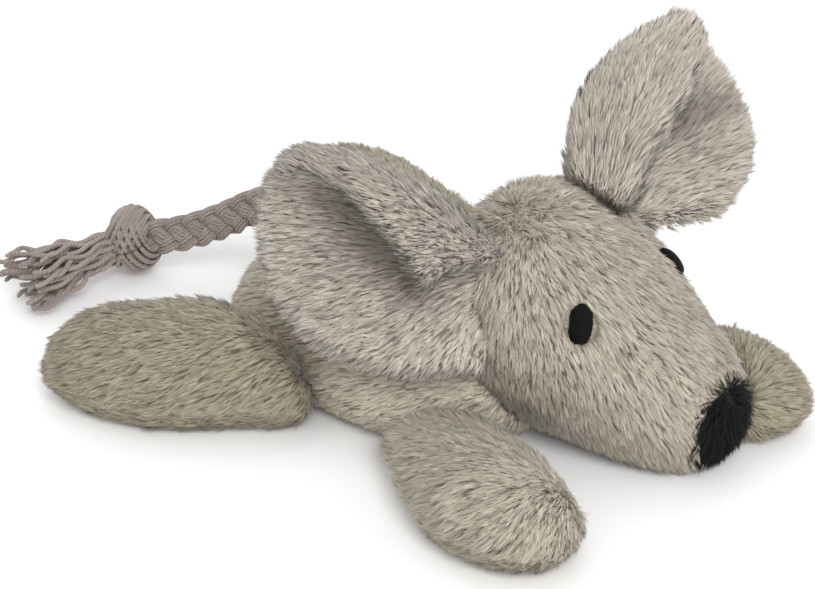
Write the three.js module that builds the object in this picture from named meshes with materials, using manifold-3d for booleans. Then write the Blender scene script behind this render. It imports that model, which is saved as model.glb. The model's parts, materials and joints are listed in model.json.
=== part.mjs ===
// A floppy plush catnip mouse that lies on its belly with its legs spread out, its chin on the
// floor and its ears folded over. It is sewn from plush panels over fibre filling, and its tail
// is a plaited cotton rope with an overhand knot and a frayed end. Millimetres, +X towards the
// head, +Y to the mouse's left, +Z up, with the origin on the floor under the flat belly.
import * as THREE from 'three';
import { mergeVertices } from 'three/addons/utils/BufferGeometryUtils.js';
import Module from 'manifold-3d';

const wasm = await Module();
wasm.setup();

// Cloth and sewing.
const PLUSH = 2.6; // plush cloth with its pile lying down
const EAR_PLUSH = 2.0; // the thinner plush of the ears
const SEAM = 0.3; // clearance where two pieces are sewn together or lie on each other

// Body: a flat-bottomed cushion of a back panel and a belly panel.
const BODY_LENGTH = 87.5;
const CHEST_X = 42; // front of the chest, under the head
const BODY_HALF_WIDTH = 32;
const BODY_RISE = 21; // of the back over the side seam
const BODY_SEAM = 9; // height of the side seam
const BODY_SAG = 4; // how far the rounded belly would hang under the floor if it weren't pressed flat
const RUMP_ROUNDING = 24;
const CHEST_ROUNDING = 25;

// Catnip pouch on the belly panel, under the filling.
const POUCH_LENGTH = 40;
const POUCH_HALF_WIDTH = 14;
const POUCH_RISE = 5;
const POUCH_ROUNDING = 12;
const POUCH_SHEET = 0.8;

// Head: a cone that swells from the nose to the crown, in a left and a right panel.
const HEAD_LENGTH = 72;
const HEAD_HALF_WIDTH = 28.5;
const HEAD_RISE = 24; // of the crown over the head's middle line
const HEAD_DROP = 29; // of the throat under it
const HEAD_TURN = 9.5; // degrees to the mouse's left
const CROWN_LINE = 31; // height of the middle line at the crown
const NOSE_LINE = 12; // height of the middle line at the nose
const NECK_X = 10; // where the back of the head meets the body's back
const NECK_Y = 8;
const NECK_Z = 30;
const CROWN_ROUNDING = 26;
const SNOUT_ROUNDING = 13;
const NOSE_DEPTH = 4.8; // length of the snout's black tip
const NOSE_SLOPE = 0.12; // how far the tip's edge leans back towards the chin

// Eyes: sewn ovals on the cheeks.
const EYE_LENGTH = 8.6;
const EYE_WIDTH = 5;
const EYE_PROUD = 1.1;
const EYE_SHARE = 0.59; // place along the head, from the back
const EYE_ANGLE = 48.5; // degrees from the middle of the crown
const EYE_LEAN = 0.42; // how far the oval leans forwards at its top

// Ears: round double panels with a pinched root, folded over on the inner side.
const EAR_RADIUS = 30.5;
const EAR_REACH = 17.5; // from the root to the middle of the disc
const EAR_OFFSET = 3; // of the disc's middle towards the crown
const EAR_ROOT_HALF = 8;
const EAR_NECK_SLOPE = 0.14; // how fast the ear widens from its root
const EAR_HINGE = 2.4; // from the root's edge to the line that the ear flops about
const EAR_FORWARD = 20; // degrees that the ear flops forwards
const EAR_BACKWARD = 25; // and backwards
const FOLD_RADIUS = 4.2; // at the root
const FOLD_TURN = 158; // degrees that the flap turns over
const EAR_CUP = 55; // radius of the ear's hollow

// Legs: flat paddles sewn on along a straight seam.
const LEG_ROOT = 7; // radius of the rounded root
const LEG_SINK = 3; // how far the root runs on towards the body before it is cut to fit
const TOE_ROUNDING = 16;
const LEG_SEAM = 7; // height of the leg's own side seam
const FORELEG_LENGTH = 44;
const FORELEG_HALF_WIDTH = 16;
const FORELEG_RISE = 12;
const HINDLEG_LENGTH = 33;
const HINDLEG_HALF_WIDTH = 19.5;
const HINDLEG_RISE = 18;
const LEG_PRESS = 2; // how far the rounded sole is pressed flat
const FORELEG_DROOP = 36; // degrees that a foreleg hangs down when the mouse is picked up
const HINDLEG_DROOP = 40;
const HINDLEG_LIFT = 12;
const SWEEP_STEP = 10; // degrees between the positions that a leg's root is cut to clear

// Tail: plaited rope, knot and frayed end.
const ROPE_DIAMETER = 8.6;
const TAIL_LIFT = 60; // degrees that the tail can be lifted by
const KNOT_RADIUS = 7.6;
const KNOT_WRAP = 3.8; // radius of the rope where the knot squeezes it
const KNOT_TILT = 24; // degrees that each of its two wraps is tilted by
const KNOT_CORE = 6.2; // radius of what the wraps cover
const YARN_DIAMETER = 1.1;
const YARN_SPACING = 1.6;
const TASSEL_LENGTH = 26;
const TASSEL_HEADING = 264; // degrees about +Z of the way that the frayed end lies
const TASSEL_SPREAD = 2.2; // how much wider the frayed end is than the rope
const TASSEL_FLARE = 1.8; // and how much taller
const TASSEL_HEIGHT = 6.6; // of its middle line over the floor, at its tip
const TASSEL_SLICE = 1.6; // thickness of the rope's last slice, that the yarns come out of
const TASSEL_WAVE = 0.8; // how far the yarns wave from side to side
const TAIL_ROUTE = [
  [-30, 0.9, 16], [-34, 1.2, 18.9], [-38, 1.5, 21.6], [-41.5, 1.8, 23.7], [-45, 2, 25], [-48.5, 1.9, 25.4],
  [-52, 1.5, 24.6], [-55, 1, 23.1], [-58, 0.2, 21.2], [-61, -0.8, 19.1], [-64, -2, 17.1], [-67, -3.4, 15.3],
  [-70, -5, 13.6], [-73, -6.7, 12.2], [-76, -8.6, 11], [-79, -10.6, 10.2],
].map(([x, y, z]) => new THREE.Vector3(x, y, z));

const FUR = new THREE.MeshStandardMaterial({ name: 'plush', color: 0xb9af9d, roughness: 0.95, metalness: 0 });
const EAR_FUR = new THREE.MeshStandardMaterial({ name: 'ear_plush', color: 0xc3b7a8, roughness: 0.95, metalness: 0 });
const BLACK_FUR = new THREE.MeshStandardMaterial({ name: 'nose_plush', color: 0x1b1b1d, roughness: 0.9, metalness: 0 });
const THREAD = new THREE.MeshStandardMaterial({ name: 'eye_thread', color: 0x151517, roughness: 0.6, metalness: 0 });
const ROPE = new THREE.MeshStandardMaterial({ name: 'tail_cotton', color: 0x8c7f78, roughness: 0.9, metalness: 0 });
const FIBRE = new THREE.MeshStandardMaterial({ name: 'fibre_filling', color: 0xf1efe8, roughness: 1, metalness: 0 });
const POUCH_CLOTH = new THREE.MeshStandardMaterial({ name: 'pouch_cloth', color: 0xe6e0d0, roughness: 0.95, metalness: 0 });
const HERB = new THREE.MeshStandardMaterial({ name: 'dried_herb', color: 0x6f7a45, roughness: 1, metalness: 0 });

const rad = THREE.MathUtils.degToRad;

function solidOf(geometry) {
  const bare = geometry.clone();
  bare.deleteAttribute('normal');
  bare.deleteAttribute('uv');
  const merged = mergeVertices(bare, 1e-4);
  return new wasm.Manifold(new wasm.Mesh({
    numProp: 3,
    vertProperties: new Float32Array(merged.attributes.position.array),
    triVerts: new Uint32Array(merged.index.array),
  }));
}

function meshOf(name, solid, material) {
  const { vertProperties, triVerts } = solid.getMesh();
  const geometry = new THREE.BufferGeometry();
  geometry.setAttribute('position', new THREE.BufferAttribute(new Float32Array(vertProperties), 3));
  geometry.setIndex(new THREE.BufferAttribute(new Uint32Array(triVerts), 1));
  geometry.computeVertexNormals();
  const mesh = new THREE.Mesh(geometry, material.clone());
  mesh.name = name;
  return mesh;
}

// Closed skin over rows of points: each row is a closed ring, or a single point at an end.
function skinOver(rows) {
  const positions = [];
  const index = [];
  const starts = rows.map((row) => {
    const start = positions.length / 3;
    row.forEach((p) => positions.push(p.x, p.y, p.z));
    return start;
  });
  for (let i = 0; i + 1 < rows.length; i++) {
    const n = Math.max(rows[i].length, rows[i + 1].length);
    for (let k = 0; k < n; k++) {
      const at = (row, j) => starts[row] + (rows[row].length === 1 ? 0 : j % n);
      if (rows[i].length > 1) index.push(at(i, k), at(i, k + 1), at(i + 1, k));
      if (rows[i + 1].length > 1) index.push(at(i, k + 1), at(i + 1, k + 1), at(i + 1, k));
    }
  }
  const geometry = new THREE.BufferGeometry();
  geometry.setAttribute('position', new THREE.Float32BufferAttribute(positions, 3));
  geometry.setIndex(index);
  return geometry;
}

// A big block on one side of a plane, to split or flatten a solid there.
function halfSpace(normal, offset) {
  const size = 600;
  const block = new THREE.BoxGeometry(size, size, size).translate(0, 0, size / 2);
  const turn = new THREE.Quaternion().setFromUnitVectors(new THREE.Vector3(0, 0, 1), normal.clone().normalize());
  const shift = normal.clone().normalize().multiplyScalar(offset);
  return solidOf(block.applyQuaternion(turn).translate(shift.x, shift.y, shift.z));
}

const UP = new THREE.Vector3(0, 0, 1);
const above = (z) => halfSpace(UP, z);
const below = (z) => halfSpace(UP.clone().negate(), -z);

// How a width or a height swells along a form, from its back to its front.
function swell(...values) {
  const curve = new THREE.SplineCurve(values.map((v, i) => new THREE.Vector2(i, v)));
  return (share) => curve.getPoint(THREE.MathUtils.clamp(share, 0, 1)).y;
}

// A stuffed form along X with a rounded back and front. Its section at each place is as wide as
// halfWidth, rises by rise over the middle line and hangs by drop under it.
class StuffedForm {
  constructor(sizes) {
    Object.assign(this, { lean: 0, sides: 20, innerSides: 14, capSteps: 5, steps: 3, line: () => 0 }, sizes);
  }

  ring(x, round, inset) {
    const share = (x - this.back) / (this.front - this.back);
    const sides = inset > 0 ? this.innerSides : this.sides;
    const points = [];
    for (let k = 0; k < sides; k++) {
      points.push(this.sectionPoint(x, share, round, (2 * Math.PI * k) / sides, inset));
    }
    return points;
  }

  sectionPoint(x, share, round, angle, inset) {
    const width = (this.halfWidth(share) - inset) * round;
    const height = ((Math.sin(angle) > 0 ? this.rise(share) : this.drop(share)) - inset) * round;
    return new THREE.Vector3(x, width * Math.cos(angle) + this.lean * x, this.line(share) + height * Math.sin(angle));
  }

  roundness(x) {
    if (x < this.back + this.backCap) return Math.sqrt(Math.max(0, 1 - ((this.back + this.backCap - x) / this.backCap) ** 2));
    if (x > this.front - this.frontCap) return Math.sqrt(Math.max(0, 1 - ((x - this.front + this.frontCap) / this.frontCap) ** 2));
    return 1;
  }

  // Point on the surface at a share of the length and an angle about the middle line.
  surface(share, angle) {
    const x = this.back + share * (this.front - this.back);
    return this.sectionPoint(x, share, this.roundness(x), angle, 0);
  }

  normal(share, angle) {
    const step = 1e-3;
    const along = this.surface(share + step, angle).sub(this.surface(share - step, angle));
    const around = this.surface(share, angle + step).sub(this.surface(share, angle - step));
    return along.cross(around).normalize().negate();
  }

  geometry(inset = 0) {
    const start = this.back + inset;
    const end = this.front - inset;
    const backCap = this.backCap - inset;
    const frontCap = this.frontCap - inset;
    const rows = [];
    const apex = (x) => {
      const share = (x - this.back) / (this.front - this.back);
      return [new THREE.Vector3(x, this.lean * x, this.line(share))];
    };
    rows.push(apex(start));
    for (let i = 1; i <= this.capSteps; i++) {
      const q = (i / this.capSteps) * (Math.PI / 2);
      rows.push(this.ring(start + backCap * (1 - Math.cos(q)), Math.sin(q), inset));
    }
    for (let i = 1; i <= this.steps; i++) {
      rows.push(this.ring(THREE.MathUtils.lerp(start + backCap, end - frontCap, i / this.steps), 1, inset));
    }
    for (let i = this.capSteps - 1; i >= 1; i--) {
      const q = (i / this.capSteps) * (Math.PI / 2);
      rows.push(this.ring(end - frontCap * (1 - Math.cos(q)), Math.sin(q), inset));
    }
    rows.push(apex(end));
    return skinOver(rows);
  }

  solid(inset = 0) {
    return solidOf(this.geometry(inset));
  }

  solidIn(matrix, inset = 0) {
    return solidOf(this.geometry(inset).applyMatrix4(matrix));
  }

  // The room that the form takes, as seen from a piece that swings about its own Y axis.
  solidSwept(matrix, degrees, inset = 0) {
    return degrees
      .map((turn) => this.solidIn(new THREE.Matrix4().makeRotationY(-rad(turn)).multiply(matrix), inset))
      .reduce((whole, solid) => whole.add(solid));
  }
}

const mouse = new THREE.Group();
mouse.name = 'catnip_mouse';

// Body.
const body = new StuffedForm({
  back: CHEST_X - BODY_LENGTH,
  front: CHEST_X,
  backCap: RUMP_ROUNDING,
  frontCap: CHEST_ROUNDING,
  halfWidth: swell(0.84 * BODY_HALF_WIDTH, BODY_HALF_WIDTH, 0.97 * BODY_HALF_WIDTH, 0.8 * BODY_HALF_WIDTH),
  rise: swell(0.92 * BODY_RISE, BODY_RISE, BODY_RISE, 0.9 * BODY_RISE),
  drop: () => BODY_SEAM + BODY_SAG,
  line: () => BODY_SEAM,
  sides: 18,
});
const bodyShell = body.solid().subtract(body.solid(PLUSH)).subtract(below(0));
const bellyFloor = above(0).intersect(below(PLUSH)).intersect(body.solid());
const bodySkin = bodyShell.add(bellyFloor);

const pouch = new StuffedForm({
  back: -POUCH_LENGTH / 2,
  front: POUCH_LENGTH / 2,
  backCap: POUCH_ROUNDING,
  frontCap: POUCH_ROUNDING,
  halfWidth: () => POUCH_HALF_WIDTH,
  rise: () => POUCH_RISE,
  drop: () => POUCH_RISE,
  line: () => PLUSH + SEAM + POUCH_RISE,
  sides: 14,
  capSteps: 3,
  steps: 1,
});
const pouchSkin = pouch.solid().subtract(pouch.solid(POUCH_SHEET));
const pouchSeam = PLUSH + SEAM + POUCH_RISE;
const pouchHole = pouch.solid(-SEAM).add(solidOf(
  new THREE.CylinderGeometry(1, 1, 2 * pouchSeam, 28)
    .scale(POUCH_LENGTH / 2 + SEAM, 1, POUCH_HALF_WIDTH + SEAM)
    .rotateX(Math.PI / 2),
));

mouse.add(
  meshOf('body_back_panel', bodySkin.intersect(above(BODY_SEAM + SEAM / 2)), FUR),
  meshOf('body_belly_panel', bodySkin.intersect(below(BODY_SEAM - SEAM / 2)), FUR),
  meshOf('body_filling', body.solid(PLUSH + SEAM).intersect(above(PLUSH + SEAM)).subtract(pouchHole), FIBRE),
  meshOf('pouch_upper_sheet', pouchSkin.intersect(above(pouchSeam + SEAM / 2)), POUCH_CLOTH),
  meshOf('pouch_lower_sheet', pouchSkin.intersect(below(pouchSeam - SEAM / 2)), POUCH_CLOTH),
  meshOf('dried_catnip', pouch.solid(POUCH_SHEET + SEAM), HERB),
);

// Head, in a group whose origin is the line at the back of the neck that the head nods about.
const head = new THREE.Group();
head.name = 'head';
head.position.set(NECK_X, NECK_Y, NECK_Z);
head.rotation.z = rad(HEAD_TURN);
head.updateMatrixWorld();
const worldInHead = head.matrixWorld.clone().invert();

const skull = new StuffedForm({
  back: 0,
  front: HEAD_LENGTH,
  backCap: CROWN_ROUNDING,
  frontCap: SNOUT_ROUNDING,
  halfWidth: swell(...[0.98, 1, 0.93, 0.68, 0.44].map((share) => share * HEAD_HALF_WIDTH)),
  rise: swell(...[1, 1, 0.88, 0.66, 0.46].map((share) => share * HEAD_RISE)),
  drop: swell(...[0.9, 1, 0.84, 0.62, 0.4].map((share) => share * HEAD_DROP)),
  line: swell(...[1.1, 1, 0.71, 0.25, 0].map((share) => THREE.MathUtils.lerp(NOSE_LINE, CROWN_LINE, share) - NECK_Z)),
  sides: 18,
  steps: 4,
});

const floorInHead = below(-NECK_Z);
const headRoom = body.solidIn(worldInHead, -SEAM).add(floorInHead);
const headFillRoom = body.solidIn(worldInHead, -SEAM - PLUSH - SEAM).add(below(-NECK_Z + PLUSH + SEAM));
const headHollow = skull.solid(PLUSH).subtract(body.solidIn(worldInHead, -SEAM - PLUSH)).subtract(below(-NECK_Z + PLUSH));
const headSkin = skull.solid().subtract(headRoom).subtract(headHollow);
const noseCut = new THREE.Vector3(1, 0, -NOSE_SLOPE).normalize();
const noseEdge = noseCut.dot(new THREE.Vector3(HEAD_LENGTH - NOSE_DEPTH, 0, NOSE_LINE - NECK_Z));
const snout = halfSpace(noseCut, noseEdge + SEAM / 2);
const face = halfSpace(noseCut.clone().negate(), -noseEdge + SEAM / 2);
const LEFT = new THREE.Vector3(0, 1, 0);
const RIGHT = new THREE.Vector3(0, -1, 0);

head.add(
  meshOf('head_left_panel', headSkin.intersect(face).intersect(halfSpace(LEFT, SEAM / 2)), FUR),
  meshOf('head_right_panel', headSkin.intersect(face).intersect(halfSpace(RIGHT, SEAM / 2)), FUR),
  meshOf('head_filling', skull.solid(PLUSH + SEAM).subtract(headFillRoom), FIBRE),
  meshOf('nose_patch', headSkin.intersect(snout), BLACK_FUR),
);

for (const [side, sign] of [['left', 1], ['right', -1]]) {
  const angle = Math.PI / 2 - sign * rad(EYE_ANGLE);
  const place = skull.surface(EYE_SHARE, angle);
  const normal = skull.normal(EYE_SHARE, angle);
  const upright = new THREE.Vector3(EYE_LEAN, 0, 1).projectOnPlane(normal).normalize();
  const across = new THREE.Vector3().crossVectors(upright, normal);
  const frame = new THREE.Matrix4().makeBasis(across, upright, normal).setPosition(place);
  const oval = new THREE.SphereGeometry(1, 14, 6)
    .scale(EYE_WIDTH / 2, EYE_LENGTH / 2, EYE_PROUD + SEAM)
    .applyMatrix4(frame);
  head.add(meshOf(`eye_${side}`, solidOf(oval).subtract(skull.solid(-SEAM)), THREAD));
}

// Ears. The flat pattern has p from the root outwards and q towards the crown; it is folded over
// along a line on the crown side and hollowed, and a front and a back panel lie on each other.
function earPoint(p, q, depth, fold) {
  const turn = rad(fold.angle);
  const along = p * Math.cos(turn) - q * Math.sin(turn);
  const across = p * Math.sin(turn) + q * Math.cos(turn);
  const sewn = THREE.MathUtils.clamp(0.35 + (0.65 * p) / EAR_HINGE, 0.35, 1);
  const off = depth * sewn;
  const line = fold.line - fold.bow * ((along - EAR_REACH) / EAR_RADIUS) ** 2;
  const radius = FOLD_RADIUS + fold.flare * Math.max(along, 0);
  let s;
  let z;
  if (across <= line) {
    const bend = (line - across) / EAR_CUP;
    s = line - (EAR_CUP - off) * Math.sin(bend);
    z = EAR_CUP - (EAR_CUP - off) * Math.cos(bend);
  } else {
    const bend = Math.min((across - line) / radius, rad(FOLD_TURN));
    const rest = across - line - bend * radius;
    s = line + (radius - off) * Math.sin(bend) + rest * Math.cos(bend);
    z = radius - (radius - off) * Math.cos(bend) + rest * Math.sin(bend);
  }
  return new THREE.Vector3(along * Math.cos(turn) + s * Math.sin(turn) - EAR_HINGE, s * Math.cos(turn) - along * Math.sin(turn), z);
}

function earPanel(fromDepth, toDepth, fold, mirror) {
  const turn = rad(fold.angle);
  const [c, s] = [Math.cos(turn), Math.sin(turn)];
  const middle = { along: EAR_REACH * c - EAR_OFFSET * s, across: EAR_REACH * s + EAR_OFFSET * c };
  const k = EAR_NECK_SLOPE;
  const lanes = [];
  const steps = 13;
  for (let j = 0; j <= steps; j++) {
    const across = middle.across - EAR_RADIUS * 0.985 * Math.cos((Math.PI * j) / steps);
    const half = Math.sqrt(EAR_RADIUS ** 2 - (across - middle.across) ** 2);
    const root = -across * s / c;
    const crownSide = (-k * EAR_ROOT_HALF + across * (k * c - s)) / (c + k * s);
    const cheekSide = (-k * EAR_ROOT_HALF - across * (k * c + s)) / (c - k * s);
    const start = Math.max(middle.along - half, root, crownSide, cheekSide);
    lanes.push({ across, start, end: middle.along + half });
  }
  const columns = 5;
  const at = (lane, i, depth) => {
    const along = THREE.MathUtils.lerp(lane.start, lane.end, i / columns);
    const point = earPoint(along * c + lane.across * s, lane.across * c - along * s, depth, fold);
    if (mirror) point.y = -point.y;
    return point;
  };
  const rows = lanes.map((lane) => {
    const row = [];
    for (let i = 0; i <= columns; i++) row.push(at(lane, i, fromDepth));
    for (let i = columns; i >= 0; i--) row.push(at(lane, i, toDepth));
    return row;
  });
  const geometry = skinOver(rows);
  const index = [...geometry.index.array];
  const ring = 2 * columns + 2;
  for (const [base, flip] of [[0, false], [(rows.length - 1) * ring, true]]) {
    for (let i = 0; i < columns; i++) {
      const quad = [base + i, base + i + 1, base + ring - 2 - i, base + ring - 1 - i];
      const faces = [[quad[0], quad[1], quad[2]], [quad[0], quad[2], quad[3]]];
      for (const f of faces) index.push(...(flip ? f : f.reverse()));
    }
  }
  const inward = mirror === (fromDepth < toDepth);
  for (let i = 0; !inward && i < index.length; i += 3) [index[i], index[i + 1]] = [index[i + 1], index[i]];
  geometry.setIndex(index);
  return geometry;
}

// Each ear is sewn on at a share of the head's length and an angle about it, reaches out along
// one direction and shows its hollow along another. Its fold lies at an angle and a distance from
// the ear's middle line, bows towards the crown in its middle, and opens out towards the rim.
const EARS = [
  {
    side: 'right',
    share: 0.27,
    angle: 133,
    reach: [-0.7, -0.7, 0.0],
    facing: [0.66, -0.62, 0.42],
    fold: { angle: -16, line: -2.6, bow: 9.2, flare: 0.27 },
  },
  {
    side: 'left',
    share: 0.32,
    angle: 40,
    reach: [-0.36, 0.74, 0.58],
    facing: [0.8, -0.2, 0.55],
    fold: { angle: 16, line: 12.5, bow: 7, flare: 0 },
  },
];
for (const { side, share, angle, reach, facing, fold } of EARS) {
  const ear = new THREE.Group();
  ear.name = `ear_${side}`;
  const toHead = new THREE.Quaternion().setFromAxisAngle(UP, -rad(HEAD_TURN));
  const outward = new THREE.Vector3(...reach).normalize().applyQuaternion(toHead);
  const front = new THREE.Vector3(...facing).applyQuaternion(toHead).projectOnPlane(outward).normalize();
  ear.quaternion.setFromRotationMatrix(
    new THREE.Matrix4().makeBasis(outward, new THREE.Vector3().crossVectors(front, outward), front),
  );
  ear.position.copy(skull.surface(share, rad(angle))).addScaledVector(outward, EAR_HINGE + 2 * SEAM);
  ear.updateMatrix();
  const headRoomInEar = skull.solidSwept(
    ear.matrix.clone().invert(),
    [-EAR_FORWARD, -EAR_FORWARD / 2, 0, EAR_BACKWARD / 2, EAR_BACKWARD],
    -SEAM,
  );
  const panel = (from, to) => solidOf(earPanel(from, to, fold, side === 'right')).subtract(headRoomInEar);
  ear.add(
    meshOf(`ear_${side}_front_panel`, panel(SEAM / 2, SEAM / 2 + EAR_PLUSH), EAR_FUR),
    meshOf(`ear_${side}_back_panel`, panel(-SEAM / 2, -SEAM / 2 - EAR_PLUSH), EAR_FUR),
  );
  head.add(ear);
}
mouse.add(head);

// The head as it stands when it nods up by some degrees.
const HEAD_NODS = [2, 5, 8, 12, 18];
const headTurned = (turn) => head.matrixWorld.clone().multiply(new THREE.Matrix4().makeRotationY(-rad(turn)));

// Legs, each in a group whose origin is the line at its root that the leg swings about. A foreleg
// narrows towards its root, and a hind leg broadens into a haunch.
const LEGS = [
  { name: 'foreleg_right', share: 0.9, side: -1, lean: 18.5, hind: false },
  { name: 'foreleg_left', share: 0.9, side: 1, lean: -16, hind: false },
  { name: 'hindleg_right', share: 0.32, side: -1, lean: -33, hind: true },
  { name: 'hindleg_left', share: 0.175, side: 1, lean: 41, hind: true },
];
for (const { name, share, side, lean, hind } of LEGS) {
  const leg = new THREE.Group();
  leg.name = name;
  const angle = side > 0 ? 0 : Math.PI;
  const outward = body.normal(share, angle).setZ(0).normalize();
  leg.position.copy(body.surface(share, angle)).addScaledVector(outward, LEG_ROOT + SEAM).setZ(LEG_SEAM);
  leg.rotation.z = Math.atan2(outward.y, outward.x);
  leg.updateMatrixWorld();
  const halfWidth = hind ? HINDLEG_HALF_WIDTH : FORELEG_HALF_WIDTH;
  const rise = hind ? HINDLEG_RISE : FORELEG_RISE;
  const broad = hind ? [1.15, 1.08, 1, 1, 0.92] : [0.78, 0.9, 1, 1, 0.92];
  const paddle = new StuffedForm({
    back: -LEG_ROOT - LEG_SINK,
    front: hind ? HINDLEG_LENGTH : FORELEG_LENGTH,
    backCap: LEG_ROOT + LEG_SINK,
    frontCap: TOE_ROUNDING,
    halfWidth: swell(...broad.map((share) => share * halfWidth)),
    rise: swell(...(hind ? [0.8 * rise, rise] : [LEG_ROOT, LEG_ROOT]), rise, rise, 0.9 * rise),
    drop: () => LEG_SEAM + LEG_PRESS,
    lean: Math.tan(rad(lean)),
    sides: 12,
    innerSides: 10,
    capSteps: 4,
    steps: 2,
  });
  const inLeg = leg.matrixWorld.clone().invert();
  const sole = -LEG_SEAM;
  const skullInLeg = inLeg.clone().multiply(head.matrixWorld);
  const [lift, droop] = hind ? [HINDLEG_LIFT, HINDLEG_DROOP] : [0, FORELEG_DROOP];
  const swing = [0, droop];
  for (let turn = -lift; turn < droop; turn += SWEEP_STEP) swing.push(turn);
  const room = (clear) => {
    const bodyRoom = body.solidSwept(inLeg, swing, -clear);
    if (hind) return bodyRoom;
    const nodRoom = HEAD_NODS.map((turn) => skull.solidIn(inLeg.clone().multiply(headTurned(turn)), -clear));
    return nodRoom.reduce((whole, solid) => whole.add(solid), bodyRoom.add(skull.solidSwept(skullInLeg, swing, -clear)));
  };
  const hollow = paddle.solid(PLUSH).subtract(below(sole + PLUSH)).subtract(room(SEAM + PLUSH));
  const skin = paddle.solid().subtract(below(sole)).subtract(room(SEAM)).subtract(hollow);
  const filling = paddle.solid(PLUSH + SEAM).subtract(below(sole + PLUSH + SEAM)).subtract(room(2 * SEAM + PLUSH));
  leg.add(
    meshOf(`${name}_upper_panel`, skin.intersect(above(SEAM / 2)), FUR),
    meshOf(`${name}_lower_panel`, skin.intersect(below(-SEAM / 2)), FUR),
    meshOf(`${name}_filling`, filling, FIBRE),
  );
  mouse.add(leg);
}

// Tail rope, sewn into the rump.
const route = new THREE.CatmullRomCurve3(TAIL_ROUTE);
const section = new THREE.Shape();
for (let k = 0; k < 10; k++) {
  const a = (2 * Math.PI * k) / 10;
  const [x, y] = [(ROPE_DIAMETER / 2) * Math.cos(a), (ROPE_DIAMETER / 2) * Math.sin(a)];
  if (k) section.lineTo(x, y);
  else section.moveTo(x, y);
}
section.closePath();
const rope = new THREE.ExtrudeGeometry(section, { steps: 18, bevelEnabled: false, extrudePath: route });

// The top of the rope, where it comes out of the rump. The tail lifts about it, and its root is
// cut to clear the rump through its range.
const insideBody = (p) => {
  const share = (p.x - body.back) / (body.front - body.back);
  const round = body.roundness(p.x);
  return Math.hypot(p.y / (body.halfWidth(share) * round), (p.z - body.line(share)) / (body.rise(share) * round)) < 1;
};
const ropeTop = route.getSpacedPoints(400).map((p) => p.addScaledVector(UP, ROPE_DIAMETER / 2));
const ropeRoot = ropeTop.find((p) => !insideBody(p));
const ropeLifts = [0, 1, 2, 3, 4].map((step) => (TAIL_LIFT * step) / 4);
const bodyInTail = new THREE.Matrix4().setPosition(ropeRoot.clone().negate());
const ropeSolid = solidOf(rope).subtract(body.solidSwept(bodyInTail, ropeLifts, -SEAM).translate(ropeRoot.toArray()));

// Knot: the rope wraps round itself and passes through the wrap. It sits on the rope's end face.
const ropeEnd = TAIL_ROUTE[TAIL_ROUTE.length - 1];
const ropeHeading = route.getTangent(1);
const knotAxis = ropeHeading.clone().setZ(0).normalize();
const knotMiddle = ropeEnd.clone().addScaledVector(knotAxis, KNOT_CORE).setZ(KNOT_RADIUS + 2 * SEAM);
const inKnot = new THREE.Matrix4().makeRotationFromQuaternion(
  new THREE.Quaternion().setFromUnitVectors(UP, knotAxis),
).setPosition(knotMiddle);
const wrap = (tilt) => solidOf(
  new THREE.TorusGeometry(KNOT_RADIUS - KNOT_WRAP, KNOT_WRAP, 8, 14).rotateX(rad(tilt)).applyMatrix4(inKnot),
);
const knotSolid = solidOf(new THREE.SphereGeometry(KNOT_CORE, 12, 7).applyMatrix4(inKnot))
  .add(wrap(KNOT_TILT))
  .add(wrap(-KNOT_TILT))
  .subtract(below(0))
  .subtract(halfSpace(ropeHeading.clone().negate(), -ropeHeading.dot(ropeEnd) - SEAM));

// Frayed end: the rope's yarns spread out and sink to the floor. Each keeps its place in the
// bundle, so that none crosses another.
const tuftAxis = new THREE.Vector3(1, 0, 0).applyAxisAngle(UP, rad(TASSEL_HEADING));
const tuftSide = new THREE.Vector3().crossVectors(UP, tuftAxis);
const tuftStart = knotMiddle.clone().addScaledVector(tuftAxis, KNOT_RADIUS - SEAM);
const slice = new THREE.CylinderGeometry(ROPE_DIAMETER / 2, ROPE_DIAMETER / 2, TASSEL_SLICE, 16)
  .translate(0, TASSEL_SLICE / 2, 0)
  .applyMatrix4(new THREE.Matrix4().makeBasis(tuftSide, tuftAxis, UP.clone().negate()).setPosition(tuftStart));
let tassel = solidOf(slice);

const YARN_RINGS = [[0, 1], [1, 6], [2, 12]];
const YARN_STEPS = 5;
for (const [ring, count] of YARN_RINGS) {
  for (let k = 0; k < count; k++) {
    const turn = (2 * Math.PI * (k + 0.25 * ring)) / count;
    const aside = ring * YARN_SPACING * Math.cos(turn);
    const over = ring * YARN_SPACING * Math.sin(turn);
    const middles = [];
    for (let i = 0; i <= YARN_STEPS; i++) {
      const share = i / YARN_STEPS;
      const wave = TASSEL_WAVE * share * Math.sin(2.2 * Math.PI * share + 0.25 * aside);
      const middle = tuftStart.clone()
        .addScaledVector(tuftAxis, TASSEL_SLICE / 4 + TASSEL_LENGTH * share)
        .addScaledVector(tuftSide, aside * THREE.MathUtils.lerp(1, TASSEL_SPREAD, share) + wave);
      const sunk = Math.sin((share * Math.PI) / 2);
      const height = THREE.MathUtils.lerp(tuftStart.z, TASSEL_HEIGHT, sunk) + over * THREE.MathUtils.lerp(1, TASSEL_FLARE, share);
      middle.z = Math.max(height, YARN_DIAMETER / 2);
      middles.push(middle);
    }
    const ringAt = (middle) => [0, 1, 2, 3].map((corner) => middle.clone()
      .addScaledVector(tuftSide, (YARN_DIAMETER / 2) * Math.cos((corner * Math.PI) / 2))
      .addScaledVector(UP, (YARN_DIAMETER / 2) * Math.sin((corner * Math.PI) / 2)));
    tassel = tassel.add(solidOf(skinOver([[middles[0]], ...middles.map(ringAt), [middles[YARN_STEPS]]])));
  }
}
const knotRoom = solidOf(new THREE.SphereGeometry(KNOT_RADIUS + SEAM, 14, 10).applyMatrix4(inKnot));

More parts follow.
